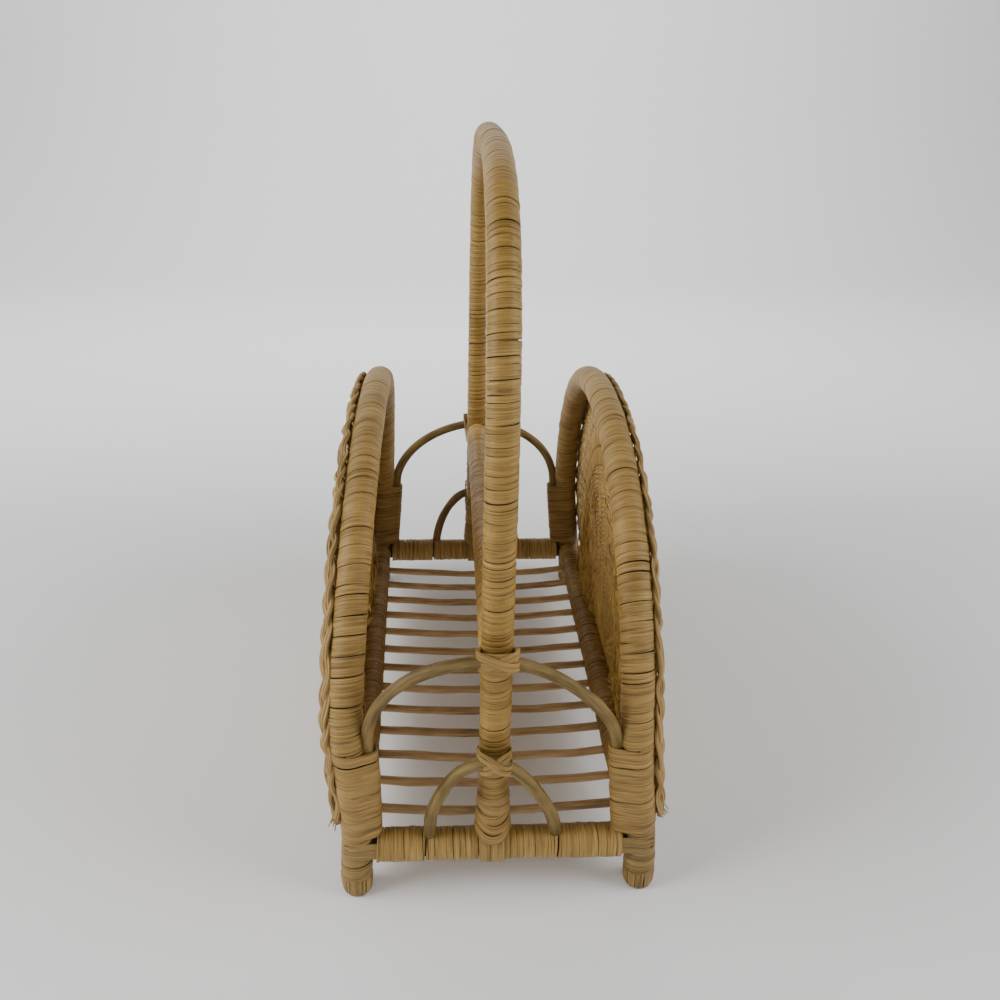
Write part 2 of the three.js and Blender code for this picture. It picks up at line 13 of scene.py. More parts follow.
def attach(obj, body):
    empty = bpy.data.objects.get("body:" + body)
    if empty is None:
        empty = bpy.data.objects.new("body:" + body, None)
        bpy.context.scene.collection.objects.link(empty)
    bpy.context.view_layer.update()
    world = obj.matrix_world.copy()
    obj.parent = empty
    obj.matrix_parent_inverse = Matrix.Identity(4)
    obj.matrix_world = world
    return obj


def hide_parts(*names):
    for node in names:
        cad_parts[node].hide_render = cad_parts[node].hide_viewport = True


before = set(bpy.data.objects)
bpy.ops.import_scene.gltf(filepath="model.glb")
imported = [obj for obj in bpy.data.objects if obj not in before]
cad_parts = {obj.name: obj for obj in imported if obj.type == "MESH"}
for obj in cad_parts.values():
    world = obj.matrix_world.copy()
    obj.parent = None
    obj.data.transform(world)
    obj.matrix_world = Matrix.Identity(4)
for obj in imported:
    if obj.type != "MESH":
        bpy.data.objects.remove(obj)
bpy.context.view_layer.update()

rng = np.random.default_rng(11)

# Side frames: where they stand, how they lean, and the front left foot that is tucked in
HALF_LENGTH = 199.0
FOOT_X, LEAN = 92.5, 0.01
SPLAY, SPLAY_LOW, SPLAY_TOP = 6.0, 10.0, 115.0
FOOT_TUCK, FOOT_TUCK_LOW, FOOT_TUCK_TOP = 10.0, 35.0, 125.0
LEFT_LEAN, LEFT_LEAN_LOW, LEFT_LEAN_TOP, LEFT_LEAN_POWER = 8.0, 110.0, 260.0, 1.2

# Hoops, handle, rails and bindings
HOOP_TOP, HOOP_SPRING, HOOP_POWER = 254.5, 70.0, 2.15
HANDLE_TOP, HANDLE_SPRING, HANDLE_POWER, HANDLE_FOOT, HANDLE_TILT = 424.0, 223.0, 3.2, 43.0, 0.011
RAIL_HEIGHT, LONG_RAIL_INSET, CROSS_RAIL_INSET, ARCH_GAP_LOW, ARCH_GAP_HIGH = 33.5, 10.0, 12.2, 39.4, 40.6
DIVIDER_HEIGHT, DIVIDER_HALF = 156.5, 190.0
BINDING_LOW, BINDING_TOP, LEG_SPACING = 44.2, 103.0, 12.05
# a corner binding's upright line, the part of it that is wound, the strip's slope and the leg inside
CORNER_LOW, CORNER_HIGH, CORNER_SPAN, CORNER_SLOPE, CORNER_BARE = 40, 108, (4.2, 64.0), 0.05, 8.8
HOOP_BARE, RAIL_BARE, HANDLE_BARE, RAIL_END_SWELL = 8.75, 8.8, 8.3, 1.045
FOOT_WRAP_LOW, FOOT_WRAP_TOP, FOOT_SWELL_LENGTH, FOOT_SWELL = 9.0, 44.4, 22.0, 0.14

# End arches, one value each for front and rear; a pair of powers shapes the left and the right half
ROD_RADIUS, ARCH_FRONT, LARGE_SPRING, SMALL_REACH = 3.75, 13.45, 106.0, 38.6
LARGE_TOPS, SMALL_TOPS = (172.0, 159.0), (104.0, 90.0)
LARGE_POWERS, SMALL_POWERS = ((2.2, 1.6), (1.85, 2.1)), ((2.3, 1.6), (2.0, 2.0))

# Slats between the long rails
SLAT_COUNT, SLAT_RADIUS, SLAT_FRONT, SLAT_REAR = 13, 2.9, 33.0, 42.8
SLAT_INSET, SLAT_LIFT, SLAT_SAG = 8.0, 0.4, 4.5

# Panels: foot, outer face of the hoop, a strand's middle off that face, and how far the foot leans in
PANEL_FLOOR, SKIN_FACE, PANEL_MIDDLE, FOOT_INSET = 30.0, 10.5, 1.5, 4.5
PLAIT_FOOT, PLAIT_PITCH, PLAIT_TURN, PLAIT_REEDS = 52.0, 52.0, 26, 7
# by side: how much closer the plait lies at its front foot, its girth, and what it loses of that towards the top
PLAIT_CLOSER, PLAIT_GIRTH, PLAIT_THINNER = {-1: 1.9, 1: 0.3}, {-1: 1, 1: 0.89}, {-1: 0.06, 1: 0.14}
FRAYED_ENDS, LOOSE_FIBRES = 8, 210

ENDS = ((-1, "front", 0), (1, "rear", 1))
SIDES = ((-1, "left"), (1, "right"))
FORWARD, SIDEWAYS, UPWARD = (0, 1.0, 0), (1.0, 0, 0), (0, 0, 1.0)

# Wound strips: pitch, thickness, points a turn, and how far they wander along the pole
HOOP_STRIP = dict(pitch=5.6, thick=1.2, per_turn=30)
FOOT_STRIP = dict(pitch=4.7, thick=1.1, per_turn=30, wander=0.45)
BINDING_STRIP = dict(pitch=4.9, thick=1.1, per_turn=44, cover=1.0)
LONG_RAIL_STRIP = dict(pitch=5.2, thick=1.15, per_turn=26)
CROSS_RAIL_STRIP = dict(pitch=3.8, thick=1.1, per_turn=30, wander=0.22, slope=0.06)
HANDLE_STRIP = dict(pitch=3.7, thick=0.75, per_turn=25, wander=0.26)
DIVIDER_STRIP = dict(pitch=3.7, thick=1.0, per_turn=24, wander=0.2)


# Frame of the basket
def fade(value, low, high):
    """Smooth step 3 t^2 - 2 t^3 of the share t between low and high."""
    t = np.clip((value - low) / (high - low), 0, 1)
    return t * t * (3 - 2 * t)


def side_offset(side, y, z):
    """Sideways place of a side frame: the foot's distance less a steady lean and the splay of the feet, which fades
    in as 3 t^2 - 2 t^3. The left frame also leans in above and its front foot is tucked in near the floor."""
    inward = LEAN * z + SPLAY * fade(z, SPLAY_LOW, SPLAY_TOP)
    if side > 0:
        return FOOT_X - inward
    ahead = (HALF_LENGTH - y) / (2 * HALF_LENGTH)
    tuck = FOOT_TUCK * ahead * (1 - fade(z, FOOT_TUCK_LOW, FOOT_TUCK_TOP))
    high = np.clip(z - LEFT_LEAN_LOW, 0, None) / (LEFT_LEAN_TOP - LEFT_LEAN_LOW)
    return -(FOOT_X - inward - tuck - LEFT_LEAN * high ** LEFT_LEAN_POWER)


def shifted(made, offset):
    """A made piece with its points moved sideways by offset(x, y, z)."""
    grid = made[0].copy()
    grid[..., 0] += offset(*np.moveaxis(grid, -1, 0))
    return grid, made[1], made[2]


def hoop_half(z):
    """Half length of the hoop's centre line at a height: a rounded arch above the spring line."""
    share = np.clip((z - HOOP_SPRING) / (HOOP_TOP - HOOP_SPRING), 0, 1)
    return HALF_LENGTH * (1 - share ** HOOP_POWER) ** (1 / HOOP_POWER)


def arch_line(half, top, spring, power, foot, count=900):
    """Points (y, z) of two straight legs joined by a rounded arch: y = half cos^(2/power) and
    z = spring + rise sin^(2/power)."""
    steps = 60
    a = np.linspace(0, np.pi, count)
    c, s = np.cos(a), np.clip(np.sin(a), 0, 1)
    y = -np.sign(c) * np.abs(c) ** (2 / power) * half
    z = spring + s ** (2 / power) * (top - spring)
    leg = np.linspace(foot, spring, steps)[:-1]
    y = np.concatenate([np.full(steps - 1, -half), y, np.full(steps - 1, half)])
    z = np.concatenate([leg, z, leg[::-1]])
    return np.stack([y, z], -1)


def lengths(points):
    """Distance along a line at each of its points: the running sum of the steps."""
    return np.concatenate([[0], np.cumsum(np.linalg.norm(np.diff(points, axis=0), axis=1))])


def read(at, s, table):
    """Each column of a table over s, read at the places at by straight interpolation."""
    return np.stack([np.interp(at, s, table[:, k]) for k in range(table.shape[1])], -1)


def even(path, count):
    """The same line cut into even steps."""
    s = lengths(path)
    return read(np.linspace(0, s[-1], count), s, path)


class Route:
    """A centre line with two directions across it, read at any distance along."""

    def __init__(self, points, normal, across):
        self.s = lengths(points)
        self.length = self.s[-1]
        self.table = np.concatenate([points, normal, across], axis=1)

    def at(self, s):
        """Centre, normal and across direction at distances s; beyond an end the line runs on straight."""
        inside = np.clip(s, 0, self.length)
        out = read(inside, self.s, self.table)
        centre, normal, across = out[..., 0:3], out[..., 3:6], out[..., 6:9]
        along = np.cross(normal, across)
        return centre + along * (s - inside)[..., None], normal, across


def arch_route(line):
    """Route along an arch in the middle plane. Its normal points away from the inside, and normal x across follows
    the line's own heading."""
    t = np.gradient(line, axis=0)
    t /= np.linalg.norm(t, axis=1, keepdims=True)
    zero = np.zeros(len(line))
    points = np.stack([zero, line[:, 0], line[:, 1]], -1)
    normal = np.stack([zero, -t[:, 1], t[:, 0]], -1)
    across = np.tile(SIDEWAYS, (len(line), 1))
    along = np.cross(normal, across)
    if np.sum(along[:, 1:] * t) < 0:
        across = -across
    return Route(points, normal, across)


def straight_route(a, b):
    """Route along a straight level pole from a to b, its normal pointing up."""
    steps = 40
    a, b = np.asarray(a, float), np.asarray(b, float)
    along = (b - a) / np.linalg.norm(b - a)
    points = a + (b - a) * np.linspace(0, 1, steps)[:, None]
    across = np.cross(along, UPWARD)
    return Route(points, np.tile(UPWARD, (steps, 1)), np.tile(across, (steps, 1)))


def smooth(knots, t):
    """Smooth random curve through one knot a unit: neighbours mixed by 3f^2 - 2f^3."""
    t = np.clip(t, 0, len(knots) - 1.001)
    i = np.floor(t).astype(int)
    f = t - i
    f = f * f * (3 - 2 * f)
    return knots[i] * (1 - f) + knots[i + 1] * f


# Meshes
def placed(name, data):
    """New object of the scene."""
    made = bpy.data.objects.new(name, data)
    bpy.context.scene.collection.objects.link(made)
    return made


def signed_volume(v, quads):
    """Sum of a . (b x c) + a . (c x d) over the quads: its sign tells whether they face outward."""
    a, b, c, d = (v[quads[:, k]] for k in range(4))
    return np.sum(a * np.cross(b, c)) + np.sum(a * np.cross(c, d))


def grid_piece(name, made, finish, nodes, closed=False):
    """One object from strips: the grid is strips x rows x ring points x 3. Rings join to rings; the ends are capped,
    or joined to each other if the strips are closed."""
    grid, uv, tone = made
    strips, rows, ring = grid.shape[:3]
    v = grid.reshape(-1, 3)
    i = np.arange(rows if closed else rows - 1)
    j = np.arange(ring)
    ii, jj = np.meshgrid(i, j, indexing="ij")
    i2, j2 = (ii + 1) % rows, (jj + 1) % ring
    quad = np.stack([ii * ring + jj, ii * ring + j2, i2 * ring + j2, i2 * ring + jj], -1).reshape(-1, 4)
    start = (np.arange(strips) * rows * ring)[:, None]
    quads = (quad[None] + start[:, None]).reshape(-1, 4)
    caps = np.zeros((0, ring), int)
    if not closed:
        caps = np.concatenate([j[::-1][None] + start, j[None] + start + (rows - 1) * ring])
    if signed_volume(v, quads) < 0:
        quads, caps = quads[:, ::-1], caps[:, ::-1]
    loops = np.concatenate([quads.ravel(), caps.ravel()])
    totals = np.concatenate([np.full(len(quads), 4), np.full(len(caps), ring)])
    firsts = np.concatenate([[0], np.cumsum(totals)[:-1]])
    mesh = bpy.data.meshes.new(name)
    mesh.vertices.add(len(v))
    mesh.vertices.foreach_set("co", (v / 1000).astype(np.float32).ravel())
    mesh.loops.add(len(loops))
    mesh.loops.foreach_set("vertex_index", loops.astype(np.int32))
    mesh.polygons.add(len(totals))
    mesh.polygons.foreach_set("loop_start", firsts.astype(np.int32))
    mesh.polygons.foreach_set("loop_total", totals.astype(np.int32))
    mesh.update(calc_edges=True)
    layer = mesh.uv_layers.new(name="strip")
    layer.data.foreach_set("uv", np.asarray(uv, np.float32).reshape(-1, 2)[loops].ravel())
    shade = mesh.attributes.new("tone", "FLOAT", "POINT")
    shade.data.foreach_set("value", np.asarray(tone, np.float32).ravel())
    mesh.polygons.foreach_set("use_smooth", np.ones(len(totals), bool))
    mesh.materials.append(MATERIALS[finish])
    piece = placed(name, mesh)
    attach(piece, "root")
    if nodes:
        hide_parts(*nodes)


# Section of a flat strip: place across its width, height over its foot, and place on the map
STRIP_X = np.array([-0.5, -0.488, -0.44, 0.0, 0.44, 0.488, 0.5, 0.3, -0.3])
STRIP_H = np.array([0.35, 0.86, 0.98, 1.05, 0.98, 0.86, 0.35, -0.35, -0.35])
STRIP_V = np.array([0.0, 0.012, 0.06, 0.5, 0.94, 0.988, 1.0, 0.8, 0.2])
CIRCLE = np.linspace(0, 2 * np.pi, 1441)[:-1]


def units(v):
    """Directions of length one."""
    return v / (np.linalg.norm(v, axis=-1, keepdims=True) + 1e-12)


def around(a):
    """Direction (cos a, sin a)."""
    return np.stack([np.cos(a), np.sin(a)], -1)


def round_outline(radius):
    """Circle as place and outward direction (cos a, sin a) at the turn angle a."""
    return lambda a: (around(a) * radius, around(a))


def closed_outline(far, d):
    """A closed outline of points far, each the outermost in its direction d, read evenly along its length."""
    table = np.concatenate([far, d], axis=1)
    table = np.concatenate([table, table[:1]])
    s = lengths(table[:, :2])

    def at(t):
        """Place and outward direction at the turn angle t, a whole turn being the whole length."""
        out = read((t / (2 * np.pi) % 1.0) * s[-1], s, table)
        return out[..., :2], out[..., 2:]
    return at


def twin_outline(radius, small, centre):
    """Convex outline round two circles, the second at centre: in each direction the one that reaches further."""
    d = around(CIRCLE)
    far = np.where((radius >= small + d @ centre)[:, None], d * radius, centre + d * small)
    at = closed_outline(far, d)

    def unit_at(t):
        """Place and unit outward direction at the turn angle t."""
        place, out = at(t)
        return place, out / np.linalg.norm(out, axis=-1, keepdims=True)
    return unit_at


def winding(route, outline, low, high, pitch, thick, per_turn, cover=0.985, wander=0.3, girth=None, slope=0.0):
    """A flat strip of cane wound round a pole from low to high along it. At turn angle a the strip's middle stands at
    low + pitch (a / 2 pi - 0.42) plus a smooth random wander; points across it are set off along the pole, lifted by
    the strip's section and held between low and high, so the strip tapers in and out over its first and last turn."""
    run_in, knots_a_turn, width_change, lift_change, held = 0.42, 1.7, 0.06, 0.14, 0.97
    turns = (high - low) / pitch + 2 * run_in
    a = np.linspace(0, 2 * np.pi * turns, max(int(turns * per_turn), 8))
    t = a / (2 * np.pi)
    knots = rng.normal(size=(4, int(turns * knots_a_turn) + 6))
    stray, wider, higher, tone = (smooth(row, t * knots_a_turn) for row in knots)
    middle = low + pitch * (t - run_in) + wander * stray
    width = pitch * cover * (1 + width_change * wider)
    s = middle[:, None] + width[:, None] * STRIP_X
    s = s - held * (s - np.clip(s, low, high))
    place, out = outline(a)
    if slope:
        s = s + slope * place[:, :1]
    swell = np.ones_like(s) if girth is None else girth(s)
    lift = thick * STRIP_H[None] + lift_change * higher[:, None] * (STRIP_H > 0.1)
    centre, normal, across = route.at(s)
    p = place[:, None] * swell[..., None] + out[:, None] * lift[..., None]
    grid = centre + normal * p[..., :1] + across * p[..., 1:2]
    run = np.cumsum(np.linalg.norm(np.diff(place, axis=0, prepend=place[:1]), axis=1))
    uv = np.stack([np.broadcast_to(run[:, None], s.shape), np.broadcast_to(STRIP_V, s.shape)], -1)
    return grid[None], uv[None], np.broadcast_to(tone[:, None], s.shape)[None]


def along_paths(paths, v, tones):
    """UV map and tone of strips along paths: u is the distance along, v the given places round the section."""
    s = np.cumsum(np.linalg.norm(np.diff(paths, axis=1, prepend=paths[:, :1]), axis=-1), axis=1)
    uv = np.stack(np.broadcast_arrays(s[..., None], v[None, None]), -1)
    if tones is None:
        tones = rng.normal(size=len(paths))
    return uv, np.broadcast_to(tones[:, None, None], uv.shape[:3])


def strands(paths, radius, sides, facing, flat=1.0, tones=None):
    """Round or flattened strands: each ring is radius (cos, sin) across the path, flattened where it faces facing."""
    paths = np.asarray(paths, float)
    t = units(np.gradient(paths, axis=1))
    f = np.broadcast_to(np.asarray(facing, float), t.shape)
    f = units(f - t * np.sum(f * t, -1, keepdims=True))
    w = np.cross(t, f)
    a = np.linspace(0, 2 * np.pi, sides, endpoint=False)
    r = np.broadcast_to(np.asarray(radius, float), paths.shape[:2])[..., None, None]
    ring = f[:, :, None] * np.cos(a)[:, None] * flat + w[:, :, None] * np.sin(a)[:, None]
    return paths[:, :, None] + r * ring, *along_paths(paths, a / (2 * np.pi), tones)


def ribbons(paths, normals, width, thick):
    """Flat bands along paths: each section is the strip's section, its width square to the path and to the normal."""
    paths = np.asarray(paths, float)
    t = units(np.gradient(paths, axis=1))
    n = units(normals - t * np.sum(normals * t, -1, keepdims=True))
    w = np.cross(t, n)
    width = np.broadcast_to(np.asarray(width, float), paths.shape[:2])[..., None, None]
    grid = paths[:, :, None] + w[:, :, None] * STRIP_X[:, None] * width + n[:, :, None] * STRIP_H[:, None] * thick
    return grid, *along_paths(paths, STRIP_V, None)


def closed_bands(paths, normals, width, thick):
    """Bands that meet their own start: one more point at either end settles the heading there and is cut off."""
    paths, normals = np.array(paths), np.array(normals)
    first = np.concatenate([paths[:, -1:], paths, paths[:, :1]], axis=1)
    more = np.concatenate([normals[:, -1:], normals, normals[:, :1]], axis=1)
    return [part[:, 1:-1] for part in ribbons(first, more, width, thick)]


# Finishes
def new_material(name):
    """A material with its shader and two makers: make(kind, inputs) gives a node, link(a, b) joins two sockets."""
    material = bpy.data.materials.new(name)
    material.use_nodes = True
    tree = material.node_tree

    def make(kind, **inputs):
        """Node of a kind with the named inputs set."""
        node = tree.nodes.new(kind)
        for key, value in inputs.items():
            node.inputs[key].default_value = value
        return node

    return material, tree.nodes["Principled BSDF"], make, tree.links.new


def fibre_material(name, light, dark, roughness, streak, splits_and_painted_glints, bump, apart=7.0, blotch=0.12, tone_share=0.03):
    """Cane or rattan: colour between dark and light by noise drawn out along the strip's own map, a tone a turn and
    slow stains. A second drawn-out noise makes thin dark splits and brightens other fibres as painted glints; both
    also move the height.
    Strips of unlike tone read the noise apart times their tone away from each other."""
    material, shader, make, link = new_material(name)

    def maths(kind, a, b, node="ShaderNodeMath"):
        """Output of a maths node on two sockets or numbers."""
        node = make(node)
        node.operation = kind
        for socket, value in zip(node.inputs, (a, b)):
            if isinstance(value, (int, float)):
                socket.default_value = value
            else:
                link(value, socket)
        return node.outputs[0]

    strip = make("ShaderNodeUVMap")
    strip.uv_map = "strip"
    tone = make("ShaderNodeAttribute")
    tone.attribute_name = "tone"

    def drawn_out(along, across, detail, rough):
        """Noise of the strip's map scaled by (along, across), moved off by apart times the tone."""
        stretch = make("ShaderNodeMapping", Scale=(along, across, 1.0))
        link(strip.outputs[0], stretch.inputs[0])
        shift = make("ShaderNodeCombineXYZ")
        link(maths("MULTIPLY", tone.outputs["Fac"], apart), shift.inputs[2])
        noise = make("ShaderNodeTexNoise", Scale=1.0, Detail=detail, Roughness=rough)
        moved = maths("ADD", stretch.outputs[0], shift.outputs[0], "ShaderNodeVectorMath")
        link(moved, noise.inputs["Vector"])
        return noise.outputs[0]

    fibre = drawn_out(along=0.04, across=streak, detail=3.0, rough=0.6)
    split = drawn_out(along=0.022, across=streak * 0.62, detail=1.0, rough=0.5)
    place = make("ShaderNodeTexCoord")
    stain = make("ShaderNodeTexNoise", Scale=34.0, Detail=4.0)
    link(place.outputs["Object"], stain.inputs["Vector"])
    mix = maths("ADD", maths("MULTIPLY", fibre, 0.9), maths("MULTIPLY", tone.outputs["Fac"], tone_share))
    mix = maths("ADD", mix, maths("MULTIPLY", maths("SUBTRACT", stain.outputs[0], 0.5), blotch * 2))
    ramp = make("ShaderNodeValToRGB")
    for stop, at, colour in zip(ramp.color_ramp.elements, (0.27, 0.62), (dark, light)):
        stop.position, stop.color = at, (*colour, 1)
    link(mix, ramp.inputs[0])
    lines = make("ShaderNodeValToRGB")
    band = lines.color_ramp
    # low darkens the thin splits; high, above 1, brightens other fibres as painted glints
    low, high = 1 - splits_and_painted_glints, 1 + 0.45 * splits_and_painted_glints
    band.elements[0].position, band.elements[0].color = 0.31, (low, low, low, 1)
    band.elements[1].position, band.elements[1].color = 0.39, (1, 1, 1, 1)
    for at, shade in ((0.6, 1.0), (0.7, high)):
        stop = band.elements.new(at)
        stop.color = (shade, shade, shade, 1)
    link(split, lines.inputs[0])
    colour = maths("MULTIPLY", ramp.outputs[0], lines.outputs[0], "ShaderNodeVectorMath")
    link(colour, shader.inputs["Base Color"])
    link(maths("ADD", maths("MULTIPLY", fibre, 0.3), roughness - 0.15), shader.inputs["Roughness"])
    height = maths("ADD", fibre, maths("MULTIPLY", lines.outputs[0], 0.5))
    bumps = make("ShaderNodeBump", Strength=bump, Distance=0.0006)
    link(height, bumps.inputs["Height"])
    link(bumps.outputs[0], shader.inputs["Normal"])
    shader.inputs["Specular IOR Level"].default_value = 0.3
    return material


def pole_material():
    """Bare pole seen only between the turns: dark dry brown with slow noise."""
    material, shader, make, link = new_material("bare_pole")
    place = make("ShaderNodeTexCoord")
    noise = make("ShaderNodeTexNoise", Scale=160.0)
    ramp = make("ShaderNodeValToRGB")
    ramp.color_ramp.elements[0].color = (0.022, 0.013, 0.007, 1)
    ramp.color_ramp.elements[1].color = (0.085, 0.052, 0.026, 1)
    link(place.outputs["Object"], noise.inputs["Vector"])
    link(noise.outputs[0], ramp.inputs[0])
    link(ramp.outputs[0], shader.inputs["Base Color"])
    shader.inputs["Roughness"].default_value = 0.8
    return material


# Light and dark colour, roughness, streak, splits and painted glints, bump, how far tones read apart, stains and share
# of the tone
FINISHES = {
    "wound_cane": ((0.45, 0.284, 0.085), (0.165, 0.092, 0.018), 0.46, 9.5, 0.5, 0.6, 0.4),
    # painted light: a lighter copy of the wound cane that brightens the cross rails
    "end_rail_cane_painted_light": ((0.5, 0.316, 0.092), (0.2, 0.11, 0.021), 0.46, 9.5, 0.5, 0.6, 0.4),
    # painted shade: the wound cane's copy for the long rails, its light end a little darker for the shade the side
    # panels cast on them
    "rail_cane": ((0.43, 0.265, 0.075), (0.17, 0.09, 0.019), 0.5, 9.0, 0.5, 0.6, 0.4),
    "handle_cane": ((0.42, 0.26, 0.067), (0.19, 0.104, 0.017), 0.36, 7.0, 0.45, 0.5, 0.4),
    # painted light: a much lighter copy of the handle's cane that brightens the divider beneath the handle
    "divider_cane_painted_light": ((0.74, 0.47, 0.16), (0.37, 0.215, 0.05), 0.36, 5.0, 0.4, 0.5, 0.4),
    "lashing_cane": ((0.41, 0.257, 0.077), (0.165, 0.09, 0.0185), 0.46, 6.0, 0.45, 0.55, 0.8),
    "foot_cane": ((0.36, 0.235, 0.082), (0.15, 0.087, 0.022), 0.55, 6.0, 0.45, 0.6, 0.8),
    "braid_cane": ((0.52, 0.345, 0.13), (0.2, 0.117, 0.037), 0.58, 3.0, 0.3, 0.5),
    # painted light: a lighter cane for the open ring, for the light that falls on it and through it
    "openwork_cane_painted_light": ((0.66, 0.45, 0.18), (0.28, 0.17, 0.055), 0.52, 3.0, 0.3, 0.5),
    "weave_cane": ((0.68, 0.44, 0.115), (0.33, 0.19, 0.037), 0.5, 3.0, 0.4, 0.4),
    # painted shade: a darker copy of the weave cane that darkens the chevron rows
    "chevron_cane_painted_shade": ((0.56, 0.365, 0.1), (0.27, 0.156, 0.032), 0.5, 3.0, 0.4, 0.4),
    "rattan_rod": ((0.26, 0.172, 0.055), (0.105, 0.064, 0.016), 0.55, 9.0, 0.3, 0.3, 7.0, 0.35, 0.0),
    # painted light: the slats' colours are raised to lift the shade that falls between the side panels
    "slat_rod": ((0.6, 0.395, 0.19), (0.3, 0.185, 0.077), 0.5, 9.0, 0.3, 0.3, 7.0, 0.15, 0.05)}
MATERIALS = {name: fibre_material(name, *row) for name, row in FINISHES.items()}


# Camera, fitted to the photograph's edges
CAMERA_PLACE, CAMERA_DEGREES, LENS = (-0.0238, -0.6732, 0.4721), (23.86, 3.141, 0.857), 36.0


def set_camera():
    """Camera that looks down by its pitch, to the right by its yaw, and turns about its own axis by its roll."""
    pitch, yaw, roll = np.radians(CAMERA_DEGREES)
    ahead = np.array([np.sin(yaw) * np.cos(pitch), np.cos(yaw) * np.cos(pitch), -np.sin(pitch)])
    right = np.array([np.cos(yaw), -np.sin(yaw), 0.0])
    up = np.array([np.sin(yaw) * np.sin(pitch), np.cos(yaw) * np.sin(pitch), np.cos(pitch)])
    right, up = right * np.cos(roll) + up * np.sin(roll), up * np.cos(roll) - right * np.sin(roll)
    data = bpy.data.cameras.new("camera")
    data.sensor_width = 36.0
    data.lens = LENS
    data.clip_start = 0.01
    camera = placed("camera", data)
    turn = Matrix([[right[k], up[k], -ahead[k]] for k in range(3)]).to_4x4()
    camera.matrix_world = Matrix.Translation(CAMERA_PLACE) @ turn
    bpy.context.scene.camera = camera


set_camera()

# Wrapped poles
hoop_route = arch_route(arch_line(HALF_LENGTH, HOOP_TOP, HOOP_SPRING, HOOP_POWER, 0.0))


def hoop_girth(s):
    """Swell of the hoop: full along the pole, drawn in by 0.14 of the square of the share below 22 mm."""
    z = np.minimum(s, hoop_route.length - s)
    low = np.clip(1 - z / FOOT_SWELL_LENGTH, 0, 1)
    return 1 - FOOT_SWELL * low * low


def foot_strips(end):
    """Strip ends folded under one foot: each runs down the side, turns under the edge and stops near the middle."""
    count = 11
    reach = np.array([8.7, 8.75, 8.6, 8.3, 7.7, 6.4, 4.6, 2.8])
    height = np.array([13.0, 9.0, 5.5, 2.9, 1.35, 0.95, 0.95, 0.95])
    outward = np.array([1.0, 1.0, 0.97, 0.86, 0.6, 0.15, 0.0, 0.0])
    width = np.array([5.0, 5.0, 4.9, 4.6, 4.0, 3.2, 2.2, 1.2])
    angles = np.linspace(0, 2 * np.pi, count, endpoint=False) + rng.normal(size=count) * 0.06
    c, s = np.cos(angles)[:, None], np.sin(angles)[:, None]
    reach = reach + rng.normal(size=(count, 1)) * 0.12
    paths = np.stack(np.broadcast_arrays(c * reach, s * reach + end * HALF_LENGTH, height), -1)
    normals = np.stack(np.broadcast_arrays(c * outward, s * outward, -np.sqrt(1 - outward ** 2)), -1)
    return ribbons(paths, normals, width, 0.9)


def corner_route(end):
    """Upright line beside a hoop leg that follows the hoop's curve."""
    z = np.linspace(CORNER_LOW, CORNER_HIGH, 60)
    points = np.stack([0 * z, end * hoop_half(z), z], -1)
    return Route(points, np.tile(SIDEWAYS, (len(z), 1)), np.tile(FORWARD, (len(z), 1)))


def squeeze(end, side, z):
    """Share of its width that the front left binding keeps: 0.84 at its foot, 1 at its top. The others keep all."""
    if end > 0 or side > 0:
        return np.ones_like(z)
    return 1 - 0.16 * (1 - fade(z, 38, 108))


def narrowed(made, end, side):
    """Draws the rod's side of a corner binding towards the hoop leg."""
    return shifted(made, lambda x, y, z: side * np.clip(-side * x, 0, None) * (1 - squeeze(end, side, z)))


# Side panels: a plaited rim and rings that are read from distance inward and share along
def plait_strands(side):
    """Three-strand plait along the rim, its flat side turned by 26 degrees from the outer face towards the rim. Strand
    k swings across as sin(w s + 2 pi k / 3) and through as sin(2 (w s + 2 pi k / 3)). Seven reeds fill each strand's
    oval and turn slowly round it; both ends taper. Near the front foot the plait lies closer to its pole."""
    across_swing, through_swing, bundle_wide, bundle_thick, reed, taper_length = 2.9, 1.25, 2.0, 0.95, 0.98, 9
    reed_turn, off_face = 38, 3.4
    route = arch_route(arch_line(HALF_LENGTH, HOOP_TOP, HOOP_SPRING, HOOP_POWER, PLAIT_FOOT))
    s = np.linspace(0, route.length, 760)
    centre, normal, _ = route.at(s)
    turned = np.radians(PLAIT_TURN)
    wide = normal * np.cos(turned) - np.array(SIDEWAYS) * np.sin(turned)
    through = np.array(SIDEWAYS) * np.cos(turned) + normal * np.sin(turned)
    taper = (0.5 + 0.5 * fade(np.minimum(s, route.length - s), 0, taper_length))[:, None]
    paths = []
    for k in range(3):
        phase = 2 * np.pi * (s / PLAIT_PITCH + k / 3) + 0.5 * smooth(rng.normal(size=30), s / s[-1] * 28)
        phase = phase[:, None]
        mid = centre + taper * (across_swing * np.sin(phase) * wide + through_swing * np.sin(2 * phase) * through)
        beside = units(np.cross(units(np.gradient(mid, axis=0)), through))
        for q in range(PLAIT_REEDS):
            turn = (2 * np.pi * q / (PLAIT_REEDS - 1) + s / reed_turn)[:, None]
            far = (0 if q == PLAIT_REEDS - 1 else 1) * taper
            stray = 0.25 * smooth(rng.normal(size=40), s / s[-1] * 38)[:, None]
            paths.append(mid + (bundle_wide * far * np.cos(turn) + stray) * beside
                         + bundle_thick * far * np.sin(turn) * through)
    paths = np.array(paths)
    y, z = paths[..., 1], paths[..., 2]
    closer = PLAIT_CLOSER[side] * fade(-y, 60, 170) * (1 - fade(z, 120, 215))
    thin = PLAIT_GIRTH[side] - PLAIT_THINNER[side] * fade(z, 90, 200)
    paths[..., 0] = side * (SKIN_FACE - closer + thin * (off_face + paths[..., 0]))
    tones = np.repeat(rng.normal(size=3), PLAIT_REEDS) * 0.6 + rng.normal(size=3 * PLAIT_REEDS) * 0.8
    return strands(paths, reed * np.sqrt(thin), 6, SIDEWAYS, 0.85, tones)


